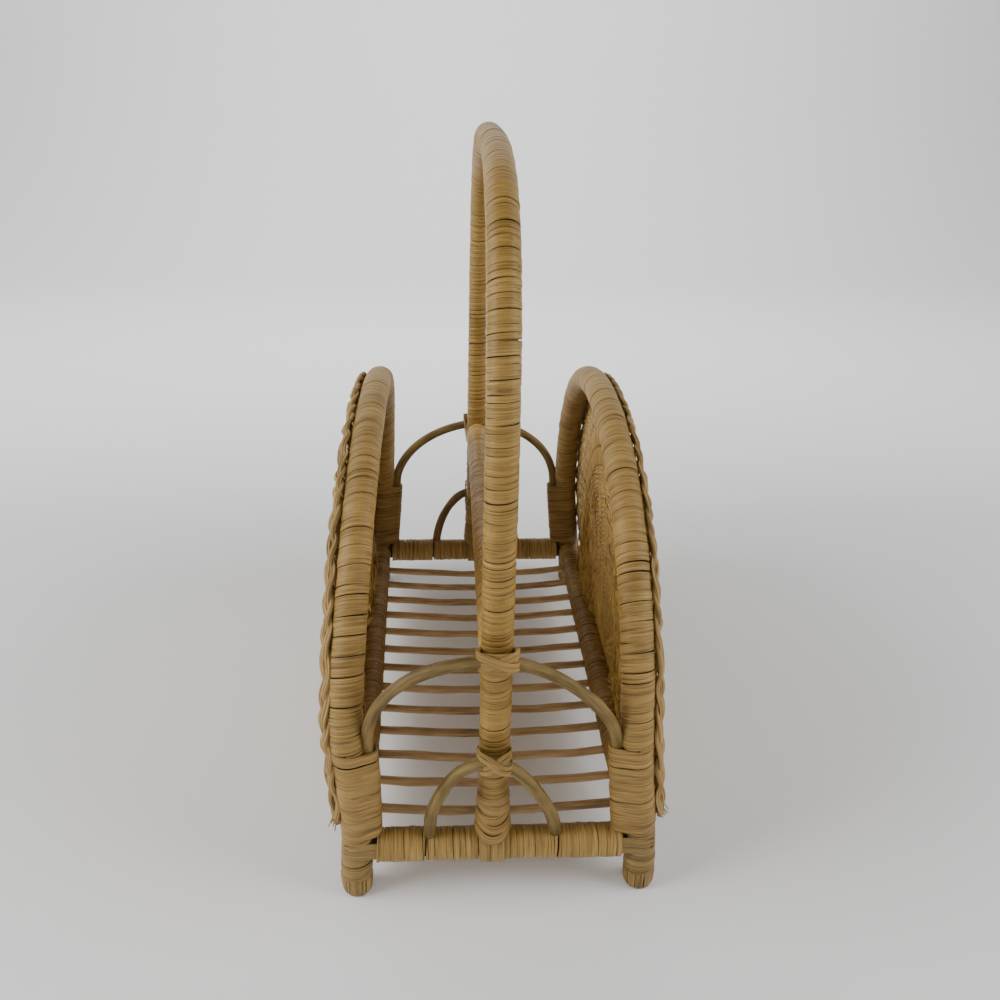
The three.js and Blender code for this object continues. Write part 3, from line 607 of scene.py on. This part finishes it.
def frayed_ends(side):
    """Reed ends that stick out of the plait where it stops near the foot: each leaves the last crossing and bends
    away by the square of the share along."""
    local = np.random.default_rng(60 + side)
    near = local.uniform
    q = np.linspace(0, 1, 12)[:, None]
    paths = []
    for _ in range(FRAYED_ENDS):
        start = np.array([side * (SKIN_FACE + near(1, 4.5)), -HALF_LENGTH + near(-4, 3), near(53, 62)])
        way = np.array([side * near(0.0, 0.5), near(-0.5, 0.2), near(-1.2, -0.5)])
        way *= near(3, 6.5) / np.linalg.norm(way)
        bend = np.array([side * near(-0.6, 1.4), near(-1.4, 0.4), near(-1, 0.8)])
        paths.append(start + way * q + bend * q ** 2)
    return strands(paths, 0.34, 5, SIDEWAYS)


RING_DEPTHS, RING_COUNT, RING_DROP = np.linspace(0, 192, 65), 361, 0.985


def build_rings():
    """Table of rings: the rim's arch drawn in step by step, each ring cut evenly along its length."""
    return np.array([even(arch_line(HALF_LENGTH - depth, HOOP_TOP - depth * RING_DROP, HOOP_SPRING, HOOP_POWER,
                                    PANEL_FLOOR, 700), RING_COUNT) for depth in RING_DEPTHS])


RINGS = build_rings()


def on_panel(depth, share, lift):
    """Point of the panel from distance inward, share along the ring (0 front foot, 1 rear foot) and height off the
    face: the four nearest places of the table, mixed by their nearness."""
    depth, share, lift = np.broadcast_arrays(np.asarray(depth, float), share, lift)
    d = np.clip(depth / (RING_DEPTHS[1] - RING_DEPTHS[0]), 0, len(RING_DEPTHS) - 1.001)
    w = np.minimum(np.clip(share, 0, 1) * (RING_COUNT - 1), RING_COUNT - 1.001)
    i, j = np.floor(d).astype(int), np.floor(w).astype(int)
    fd, fw = (d - i)[..., None], (w - j)[..., None]
    here = RINGS[i, j] * (1 - fd) + RINGS[i + 1, j] * fd
    beyond = RINGS[i, j + 1] * (1 - fd) + RINGS[i + 1, j + 1] * fd
    return np.concatenate([lift[..., None], here * (1 - fw) + beyond * fw], -1)


def openwork_paths():
    """Stakes of the open ring: pairs lean to both sides and cross half way out, two reeds each. Near the rim they
    stop a little above the panel's foot."""
    count, inner, outer, pair, foot_share = 46, 44, 3, 0.0023, 0.03
    q = np.linspace(0, 1, 22)
    depth = inner - (inner - outer) * q
    centre = (np.arange(count) + 0.5) / count
    low = foot_share * fade(q, 0.35, 1.0)
    paths = []
    for way in (-1, 1):
        for beside in (-0.5, 0.5):
            swing = way * (q * 2 - 1) * 0.5 / count
            share = np.clip(centre[:, None] + swing[None] + beside * pair, low, 1 - low)
            paths.append(on_panel(depth, share, PANEL_MIDDLE + way * 0.9 * np.sin(np.pi * q)))
    return np.concatenate(paths)


def chain_shares(depth):
    """Shares along the ring from end to end; rows near the rim stop a little above the panel's foot."""
    low = 0.004 + 0.032 * (1 - min(depth, 36) / 36)
    return np.linspace(low, 1 - low, 520)


def chain_paths():
    """Knotted links of the open ring: pairs of reeds swing against each other in two rows, three reeds to a bundle,
    and bulge where they cross. Two twisted pairs edge the ring."""
    rows = []
    for depth, links, swing, reach in ((28.0, 23, 4.6, 1.35), (14.5, 23, 3.4, 1.25)):
        s = chain_shares(depth)
        turn = 2 * np.pi * s * links + depth
        for way in (-1, 1):
            for beside in (-1, 0, 1):
                stray = 0.7 * smooth(rng.normal(size=60), s * 58)
                rows.append(on_panel(depth + way * swing * np.sin(turn) + beside * reach + stray, s,
                                     1.2 + 1.3 * way * np.cos(turn) + 0.4 * (1 - abs(beside))))
    for depth in (7.5, 37.0):
        s = chain_shares(depth)
        for way in (0, 1):
            turn = 2 * np.pi * s * 46 + np.pi * way
            for beside, rise in ((0, 1.3), (1.7, 1.1)):
                rows.append(on_panel(depth + beside + 1.6 * np.sin(turn), s, PANEL_MIDDLE + rise * np.cos(turn)))
    return np.array(rows)


def chevron_paths():
    """Herringbone of two twined rows. Stroke i runs from the outer edge of its row to the middle line and back along
    the ring; it rises as sin(pi q) and dives at both ends, once on each face. Two reeds lie in each stroke."""
    strokes, pair, scatter, back, rest, rise = 82, 0.185, 0.06, 0.0135, 0.5, 0.9
    q = np.linspace(0, 1, 9)
    i = np.arange(strokes)
    rows = []
    for outer, inner in ((38.4, 52.4), (67.4, 53.4)):
        depth = outer + (inner - outer) * q
        for face in (-1, 1):
            for beside in (-pair, pair):
                start = (i + 0.5 + beside + rng.normal(size=strokes) * scatter) / strokes
                share = start[:, None] - back * q[None]
                rows.append(on_panel(depth, share, PANEL_MIDDLE + face * (rest + rise * np.sin(np.pi * q))))
    return np.concatenate(rows)


def fan_paths():
    """Fine rows of the dense middle: rings 1.9 mm apart that weave over and under the stakes as a cosine, with
    ragged, wandering ends."""
    outer, inner, spacing, waves, rise = 66.5, 190, 1.9, 15, 0.6
    base = np.linspace(0, 1, 130)
    ends = np.exp(-base * 9) + np.exp(-(1 - base) * 9)
    paths = []
    for n, depth in enumerate(np.arange(outer, inner, spacing)):
        start, stop = rng.uniform(0.0, 0.012, 2)
        s = start + (1 - start - stop) * base
        over = rise * np.cos(2 * np.pi * s * waves + np.pi * n)
        stray = 2.6 * ends * smooth(rng.normal(size=32), base * 30)
        stray = stray + 0.5 * smooth(rng.normal(size=20), base * 18)
        paths.append(on_panel(depth + stray, s, PANEL_MIDDLE + over + 0.7 * rng.normal() * ends))
    return np.array(paths)


def stake_paths():
    """Stakes of the dense middle, fanning out from the foot of the panel; seven more stand upright in its heart."""
    stakes, inner, outer, heart_count, heart_half, heart_height = 30, 186, 64, 7, 8, 38
    shares = ((np.arange(stakes) + 0.5) / stakes)[:, None]
    q = np.linspace(0, 1, 24)
    fan = on_panel(inner - (inner - outer) * q, shares, PANEL_MIDDLE)
    y = np.linspace(-heart_half, heart_half, heart_count)[:, None]
    heart = np.stack(np.broadcast_arrays(PANEL_MIDDLE, y, PANEL_FLOOR + heart_height * q[None]), -1)
    return np.concatenate([fan, heart])


def loose_paths(side):
    """Fibres come loose along the foot of the weave: each starts on the face, bows into the basket as sin(pi q) and
    comes back to the face or hangs free."""
    local = np.random.default_rng(40 + side)
    near = local.uniform
    q = np.linspace(0, 1, 16)
    paths = []
    for n in range(LOOSE_FIBRES):
        share = local.choice([near(0.0, 0.16), near(0.84, 1.0), near(0, 1)], p=[0.45, 0.35, 0.2])
        depth = near(62, 140)
        run = near(0.03, 0.11) * local.choice([-1, 1])
        bow = near(0.8, 4.2)
        free = 1.0 if n % 5 else -2.0
        lift = 0.3 - bow * np.sin(np.pi * q * 0.8) + free * q
        paths.append(on_panel(depth + local.normal() * 9 * q, share + run * q, lift))
    return np.array(paths)


def on_face(paths, side):
    """Panel points hold their height off the face in x; here it goes outward on either side. Towards its foot the
    weave leans in over the long rail by 4.5 mm."""
    g = paths.copy()
    inset = FOOT_INSET * (1 - fade(g[..., 2], 44, 120)) * fade(170 - np.abs(g[..., 1]), 0, 30)
    g[..., 0] = side * (SKIN_FACE + g[..., 0] - inset * fade(g[..., 2], 36, 44))
    return g


# Woven layers: name, paths, radius, sides, flattening, finish and the node they replace
LAYERS = (("openwork_stakes", openwork_paths, 1.15, 6, 0.8, "openwork_cane_painted_light", "openwork"),
          ("openwork_chain", chain_paths, 1.05, 6, 0.9, "openwork_cane_painted_light", None),
          ("chevron_rows", chevron_paths, 1.38, 6, 0.8, "chevron_cane_painted_shade", "chevron_band"),
          ("fan_rows", fan_paths, 1.12, 5, 0.75, "weave_cane", "fan_weave"),
          ("fan_stakes", stake_paths, 1.3, 6, 1.0, "weave_cane", None))


def side_piece(name, made, finish, nodes):
    """A piece that leans with the side frame that is being dressed."""
    grid_piece(name, shifted(made, lambda x, y, z: side_offset(side, y, z)), finish, nodes)


for side, word in SIDES:
    made = winding(hoop_route, round_outline(HOOP_BARE), BINDING_TOP, hoop_route.length - BINDING_TOP, **HOOP_STRIP)
    side_piece(f"cane_winding_hoop_{word}", made, "wound_cane", [f"side_hoop_{word}_wrap"])
    for end, where, _ in ENDS:
        span = (FOOT_WRAP_LOW, FOOT_WRAP_TOP)
        if end > 0:
            span = (hoop_route.length - FOOT_WRAP_TOP, hoop_route.length - FOOT_WRAP_LOW)
        made = winding(hoop_route, round_outline(HOOP_BARE - 0.2), *span, girth=hoop_girth, **FOOT_STRIP)
        side_piece(f"cane_winding_foot_{where}_{word}", made, "foot_cane", ())
        side_piece(f"folded_strips_foot_{where}_{word}", foot_strips(end), "foot_cane",
                   [f"foot_wrap_{where}_{word}"])
        outline = twin_outline(CORNER_BARE, ROD_RADIUS + 0.7, (-side * LEG_SPACING, 0.0))
        made = winding(corner_route(end), outline, *CORNER_SPAN, slope=CORNER_SLOPE * side, **BINDING_STRIP)
        side_piece(f"corner_binding_strip_{where}_{word}", narrowed(made, end, side), "lashing_cane",
                   [f"corner_binding_{where}_{word}"])
    side_piece(f"plaited_rim_{word}", plait_strands(side), "braid_cane", [f"braided_border_{word}"])
    side_piece(f"frayed_ends_{word}", frayed_ends(side), "braid_cane", ())
    for name, paths, radius, sides, flat, finish, node in LAYERS:
        made = strands(on_face(paths(), side), radius, sides, SIDEWAYS, flat)
        side_piece(f"{name}_{word}", made, finish, [f"{node}_{word}"] if node else ())
    made = strands(on_face(loose_paths(side), side), 0.55, 4, SIDEWAYS)
    side_piece(f"loose_fibres_{word}", made, "weave_cane", ())
    reach = HALF_LENGTH - LONG_RAIL_INSET
    route = straight_route((0, -reach, RAIL_HEIGHT), (0, reach, RAIL_HEIGHT))
    made = winding(route, round_outline(RAIL_BARE), 0.0, route.length, **LONG_RAIL_STRIP)
    side_piece(f"cane_winding_long_rail_{word}", made, "rail_cane", [f"long_rail_{word}_wrap"])


# Cross rails, arches, lashings and saddles at both ends
def large_arch(end, top, powers):
    """Rod bound to each hoop leg up to the spring, then a rounded arch that comes forward over the handle leg: x falls
    as cos^(2/n) and z rises as sin^(2/n), with n of its own on either side."""
    legs = np.linspace(BINDING_LOW, LARGE_SPRING, 14)[:-1]
    a = np.linspace(0, np.pi / 2, 40)
    centre = HANDLE_TILT * top
    y = end * hoop_half(np.array(LARGE_SPRING))
    beside = end * hoop_half(legs)
    halves = []
    for side, power in zip((-1, 1), powers):
        spacing = LEG_SPACING * (0.3 + 0.7 * squeeze(end, side, legs))
        leg = np.stack([side_offset(side, beside, legs) - side * spacing, beside, legs], -1)
        rise = np.sin(a) ** (2 / power)
        reach = side_offset(side, y, LARGE_SPRING) - side * LEG_SPACING - centre
        x = centre + np.clip(np.cos(a), 0, 1) ** (2 / power) * reach
        ahead = y + (end * (HALF_LENGTH + ARCH_FRONT) - y) * rise
        halves.append(np.concatenate([leg, np.stack([x, ahead, LARGE_SPRING + rise * (top - LARGE_SPRING)], -1)]))
    return np.concatenate([halves[0], halves[1][::-1][1:]])


def small_arch(end, top, powers):
    """Rod that stands in the cross rail's wrapping and comes forward over the handle leg: x falls as cos^(2/n) and z
    rises as sin^(2/n), with n of its own on either side."""
    a = np.linspace(0, np.pi, 90)
    c, s = np.cos(a), np.clip(np.sin(a), 0, 1)
    power = np.where(c > 0, powers[0], powers[1])
    rise = s ** (2 / power)
    x = HANDLE_TILT * top - np.sign(c) * np.abs(c) ** (2 / power) * SMALL_REACH
    y = end * (HALF_LENGTH + ARCH_FRONT * rise)
    return np.stack([x, y, RAIL_HEIGHT + rise * (top - RAIL_HEIGHT)], -1)


def rod(path, radius, sides, facing, count=110, knots=3):
    """A rattan rod: slow changes of girth, a slight swelling at each growth joint, and a small wobble that fades out
    at both ends."""
    path = even(path, count)
    share = np.linspace(0, 1, count)
    girth = radius * (1 + 0.035 * smooth(rng.normal(size=12), share * 10))
    for at in rng.uniform(0.08, 0.92, knots):
        girth = girth + radius * 0.07 * np.exp(-((share - at) * count / 1.6) ** 2)
    wobble = np.stack([smooth(rng.normal(size=9), share * 7) for _ in range(3)], -1) * 0.35
    wobble *= np.minimum(1, np.minimum(share, 1 - share) * 8)[:, None]
    return strands([path + wobble], girth[None], sides, facing)


def lash(end, top, height, slope, reach, levels, drop):
    """Crossed bands: two strips run each way round the handle leg and over the arch's rod, on level turns laid first.
    A loop is the outline round two ovals, 9.2 by 9.2 at the leg and reach by 4.4 at the rod. Its height is
    height tanh(slope x / height) and falls towards the back at the rate drop; the second way lies on the first."""
    width, thick, apart, raised = 2.75, 0.7, 1.2925, 1.7
    d = around(CIRCLE)
    leg, bar = np.array([9.2, 9.2]), np.array([reach, ROD_RADIUS + 0.65])
    far_leg = leg ** 2 * d / np.linalg.norm(leg * d, axis=1, keepdims=True)
    far_bar = bar ** 2 * d / np.linalg.norm(bar * d, axis=1, keepdims=True) + [0, end * ARCH_FRONT]
    hull = np.where((np.sum(far_leg * d, 1) >= np.sum(far_bar * d, 1))[:, None], far_leg, far_bar)
    place, out = closed_outline(hull, d)(np.linspace(0, 2 * np.pi, 97)[:-1])
    back = np.clip((ARCH_FRONT - end * place[:, 1]) / (ARCH_FRONT + leg[1]), 0, 1)
    loops = [(0, level, -0.15) for level in levels]
    for way, over in ((1, 0.5), (-1, 1.15)):
        loops += [(way, k * apart * np.sqrt(1 + slope * slope), over) for k in (-1, 1)]
    paths, normals = [], []
    for way, level, over in loops:
        x, y = (place + out * (over * (1 - 0.8 * back))[:, None]).T
        z = way * height * np.tanh(slope * x / height) * (1 - 0.5 * back) - drop * np.minimum(back, 0.62) + level
        paths.append(np.stack([x + HANDLE_TILT * top, y + end * HALF_LENGTH, z + top + raised], -1))
        normals.append(np.concatenate([out, 0 * out[:, :1]], -1))
    return closed_bands(paths, normals, width, thick)


def saddle_bands(end):
    """Four strips hang under the handle's foot: round the cross rail from one side of the cuff to the other."""
    first, last, outside, apart, beside = 128, 412, 1.75, 3.55, 0.5
    d = around(np.radians(np.linspace(first, last, 40)))
    n = np.concatenate([0 * d[:, :1], d], -1)
    path = n * (RAIL_BARE + outside) + [0, 0, RAIL_HEIGHT]
    paths = np.array([path + [k * apart + beside, end * HALF_LENGTH, 0] for k in (-1.5, -0.5, 0.5, 1.5)])
    return ribbons(paths, np.tile(n, (4, 1, 1)), 3.6, 0.9)


# Rings of the cuff: height, radius, sag and tip
CUFF = ((71.5, 8.95, 0.6, 0.5), (66.4, 9.1, 1.6, -1.3), (60.8, 9.35, 2.8, 1.1), (55.2, 9.75, 4.2, -0.9),
        (49.8, 10.2, 6.0, 0.3))


def cuff_bands(end):
    """Five closed strips round the handle's foot, wider and lower towards the rail. At angle a a ring stands at
    z0 - sag sin^2 a + tip cos a, so it hangs down before and behind and rises beside the leg."""
    a = np.linspace(0, 2 * np.pi, 73)[:-1]
    paths, normals = [], []
    for z0, r, sag, tip in CUFF:
        x, y = r * np.cos(a), r * np.sin(a)
        z = z0 - sag * np.sin(a) ** 2 + tip * np.cos(a)
        paths.append(np.stack([x + HANDLE_TILT * z0, y + end * HALF_LENGTH, z], -1))
        normals.append(np.stack([np.cos(a), np.sin(a), 0.12 + 0 * a], -1))
    return closed_bands(paths, normals, 5.5, 0.8)


def corner_crossing(end, side):
    """Strips that tie the cross rail's end to the hoop leg: each leaves the winding on the leg's outer front, crosses
    the joint level and dives under the rail's own winding."""
    leg, rail, high, start, travel = 9.3, 8.9, 9.2, 0.4, 14.0
    q = np.linspace(0, 1, 26)
    turn = np.radians(50) * np.clip(1 - q / start, 0, 1)
    along = travel * np.clip((q - start) / (1 - start), 0, 1)
    on_rail = fade(q, 0.35, 0.8)
    paths, normals = [], []
    for rise in np.radians([-8, 13, 34]):
        x = side * (leg * np.sin(turn) - along) + side_offset(side, end * HALF_LENGTH, 34.0)
        front = leg * np.cos(turn) * (1 - on_rail) + rail * np.cos(rise) * on_rail
        z = RAIL_HEIGHT + high * np.sin(rise)
        paths.append(np.stack([x, end * (HALF_LENGTH + front), z + 0 * q], -1))
        normals.append(np.stack([side * np.sin(turn), end * np.cos(turn), np.sin(rise) * on_rail], -1))
    width = 0.8 + 2.7 * fade(q, 0, 0.25)
    return ribbons(np.array(paths), np.array(normals), np.tile(width, (3, 1)), 0.9)


# Lashings: height, slope, reach, level turns and drop
LASHINGS = (("large", LARGE_TOPS, 4.6, 0.52, 10.6, (-6.2, -3.6, -1.0, 1.6, 4.2), 12.0),
            ("small", SMALL_TOPS, 5.6, 1.05, 8.2, (-6.6, -4.2), 15.0))

for end, where, which in ENDS:
    y = end * HALF_LENGTH
    left = side_offset(-1, y, RAIL_HEIGHT) + CROSS_RAIL_INSET
    right = side_offset(1, y, RAIL_HEIGHT) - CROSS_RAIL_INSET
    route = straight_route((left, y, RAIL_HEIGHT), (right, y, RAIL_HEIGHT))
    # the small arch's feet stand in the gaps between these three
    for word, low_x, high_x, swell, nodes in (
            ("left", left, -ARCH_GAP_HIGH, RAIL_END_SWELL, ()),
            ("middle", -ARCH_GAP_LOW, ARCH_GAP_LOW, 1.0, [f"cross_rail_{where}_wrap"]),
            ("right", ARCH_GAP_HIGH, right, RAIL_END_SWELL, ())):
        made = winding(route, round_outline(RAIL_BARE * swell), low_x - left, high_x - left, **CROSS_RAIL_STRIP)
        grid_piece(f"cane_winding_cross_rail_{where}_{word}", made, "end_rail_cane_painted_light", nodes)
    for side, word in SIDES:
        grid_piece(f"corner_crossing_{where}_{word}", corner_crossing(end, side), "foot_cane", ())
    grid_piece(f"bent_rod_large_{where}",
               rod(large_arch(end, LARGE_TOPS[which], LARGE_POWERS[which]), ROD_RADIUS, 14, FORWARD),
               "rattan_rod", [f"large_arch_{where}"])
    grid_piece(f"bent_rod_small_{where}",
               rod(small_arch(end, SMALL_TOPS[which], SMALL_POWERS[which]), ROD_RADIUS, 14, FORWARD, 80, 2),
               "rattan_rod", [f"small_arch_{where}"])
    for size, tops, *shape in LASHINGS:
        grid_piece(f"crossed_bands_{size}_{where}", lash(end, tops[which], *shape), "lashing_cane",
                   [f"lashing_{size}_{where}"], closed=True)
    grid_piece(f"saddle_bands_{where}", saddle_bands(end), "lashing_cane", [f"handle_saddle_{where}"])
    grid_piece(f"flared_cuff_{where}", cuff_bands(end), "lashing_cane", (), closed=True)


# Handle, divider and slats
handle_route = arch_route(arch_line(HALF_LENGTH, HANDLE_TOP, HANDLE_SPRING, HANDLE_POWER, HANDLE_FOOT))
made = winding(handle_route, round_outline(HANDLE_BARE), 1.0, handle_route.length - 1.0, **HANDLE_STRIP)
made = shifted(made, lambda x, y, z: HANDLE_TILT * z)
grid_piece("cane_winding_handle", made, "handle_cane", ["handle_wrap"])
middle = HANDLE_TILT * DIVIDER_HEIGHT
route = straight_route((middle, -DIVIDER_HALF, DIVIDER_HEIGHT), (middle, DIVIDER_HALF, DIVIDER_HEIGHT))
made = winding(route, round_outline(HANDLE_BARE), 0.0, route.length, **DIVIDER_STRIP)
grid_piece("cane_winding_divider", made, "divider_cane_painted_light", ["divider_rail_wrap"])

for k in range(SLAT_COUNT):
    y = (SLAT_FRONT - HALF_LENGTH) + (2 * HALF_LENGTH - SLAT_FRONT - SLAT_REAR) * k / (SLAT_COUNT - 1)
    left = side_offset(-1, y, RAIL_HEIGHT) + SLAT_INSET
    right = side_offset(1, y, RAIL_HEIGHT) - SLAT_INSET
    share = np.linspace(0, 1, 40)
    dip = 4 * share * (1 - share)
    path = np.stack([left + (right - left) * share, y + 0 * share, RAIL_HEIGHT + SLAT_LIFT - SLAT_SAG * dip], -1)
    grid_piece(f"slat_rod_{k + 1:02d}", rod(path, SLAT_RADIUS, 12, UPWARD, 40, 1), "slat_rod",
               [f"slat_{k + 1:02d}"])

pole = pole_material()
for name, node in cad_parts.items():
    if name.endswith("_core"):
        for socket in node.material_slots:
            socket.material = pole


# Floor, backdrop and light, in metres and watts
def backdrop():
    """Pale sheet: flat floor that sweeps up behind in a quarter circle; its profile is carried along X."""
    front, bend_at, bend, top, half_width = -4.0, 1.6, 1.2, 5.0, 6.0
    a = np.linspace(0, np.pi / 2, 24)
    y = np.concatenate([[front], bend_at + bend * np.sin(a), [bend_at + bend]])
    z = np.concatenate([[0.0], bend * (1 - np.cos(a)), [top]])
    x = np.array([-half_width, half_width])
    v = np.stack(np.broadcast_arrays(x[:, None], y[None], z[None]), -1).reshape(-1, 3)
    n = len(y)
    faces = [(k, n + k, n + k + 1, k + 1) for k in range(n - 1)]
    mesh = bpy.data.meshes.new("pale_sheet")
    mesh.from_pydata(v.tolist(), [], faces)
    mesh.polygons.foreach_set("use_smooth", np.ones(len(faces), bool))
    material, shader, _, _ = new_material("pale_sheet")
    shader.inputs["Base Color"].default_value = (0.92, 0.925, 0.93, 1)
    shader.inputs["Roughness"].default_value = 0.85
    mesh.materials.append(material)
    sheet = placed("pale_sheet", mesh)


def area(name, place, aim, size, power, colour):
    """Square lamp at a place, turned so that it looks at its aim."""
    data = bpy.data.lights.new(name, "AREA")
    data.shape = "SQUARE"
    data.size = size
    data.energy = power
    data.color = colour
    lamp = placed(name, data)
    lamp.location = place
    lamp.rotation_mode = "QUATERNION"
    lamp.rotation_quaternion = (Vector(aim) - Vector(place)).to_track_quat("-Z", "Y")


WARM, COOL = (1, 0.99, 0.975), (0.985, 0.995, 1)
LAMPS = (("left_wall", (-2.0, -0.5, 1.2), (0, 0, 0.15), 1.6, 54, WARM),
         ("right_wall", (2.0, -0.5, 1.2), (0, 0, 0.15), 1.6, 41, WARM),
         ("left_behind", (-1.4, 0.9, 1.4), (0, 0, 0.1), 1.2, 6, WARM),
         ("front_low", (0, -2.2, 0.45), (0, 0, 0.25), 0.9, 3.5, WARM),
         ("front", (0.2, -2.0, 1.3), (0, 0, 0.15), 1.6, 6, WARM),
         ("backdrop_light", (0, 0.6, 1.5), (0, 2.8, 1.1), 1.2, 41, COOL))

backdrop()
world = bpy.data.worlds.new("studio")
world.use_nodes = True
sky = world.node_tree.nodes["Background"]
sky.inputs[0].default_value = (0.93, 0.96, 1.0, 1)
sky.inputs[1].default_value = 0.1
bpy.context.scene.world = world
for lamp in LAMPS:
    area(*lamp)
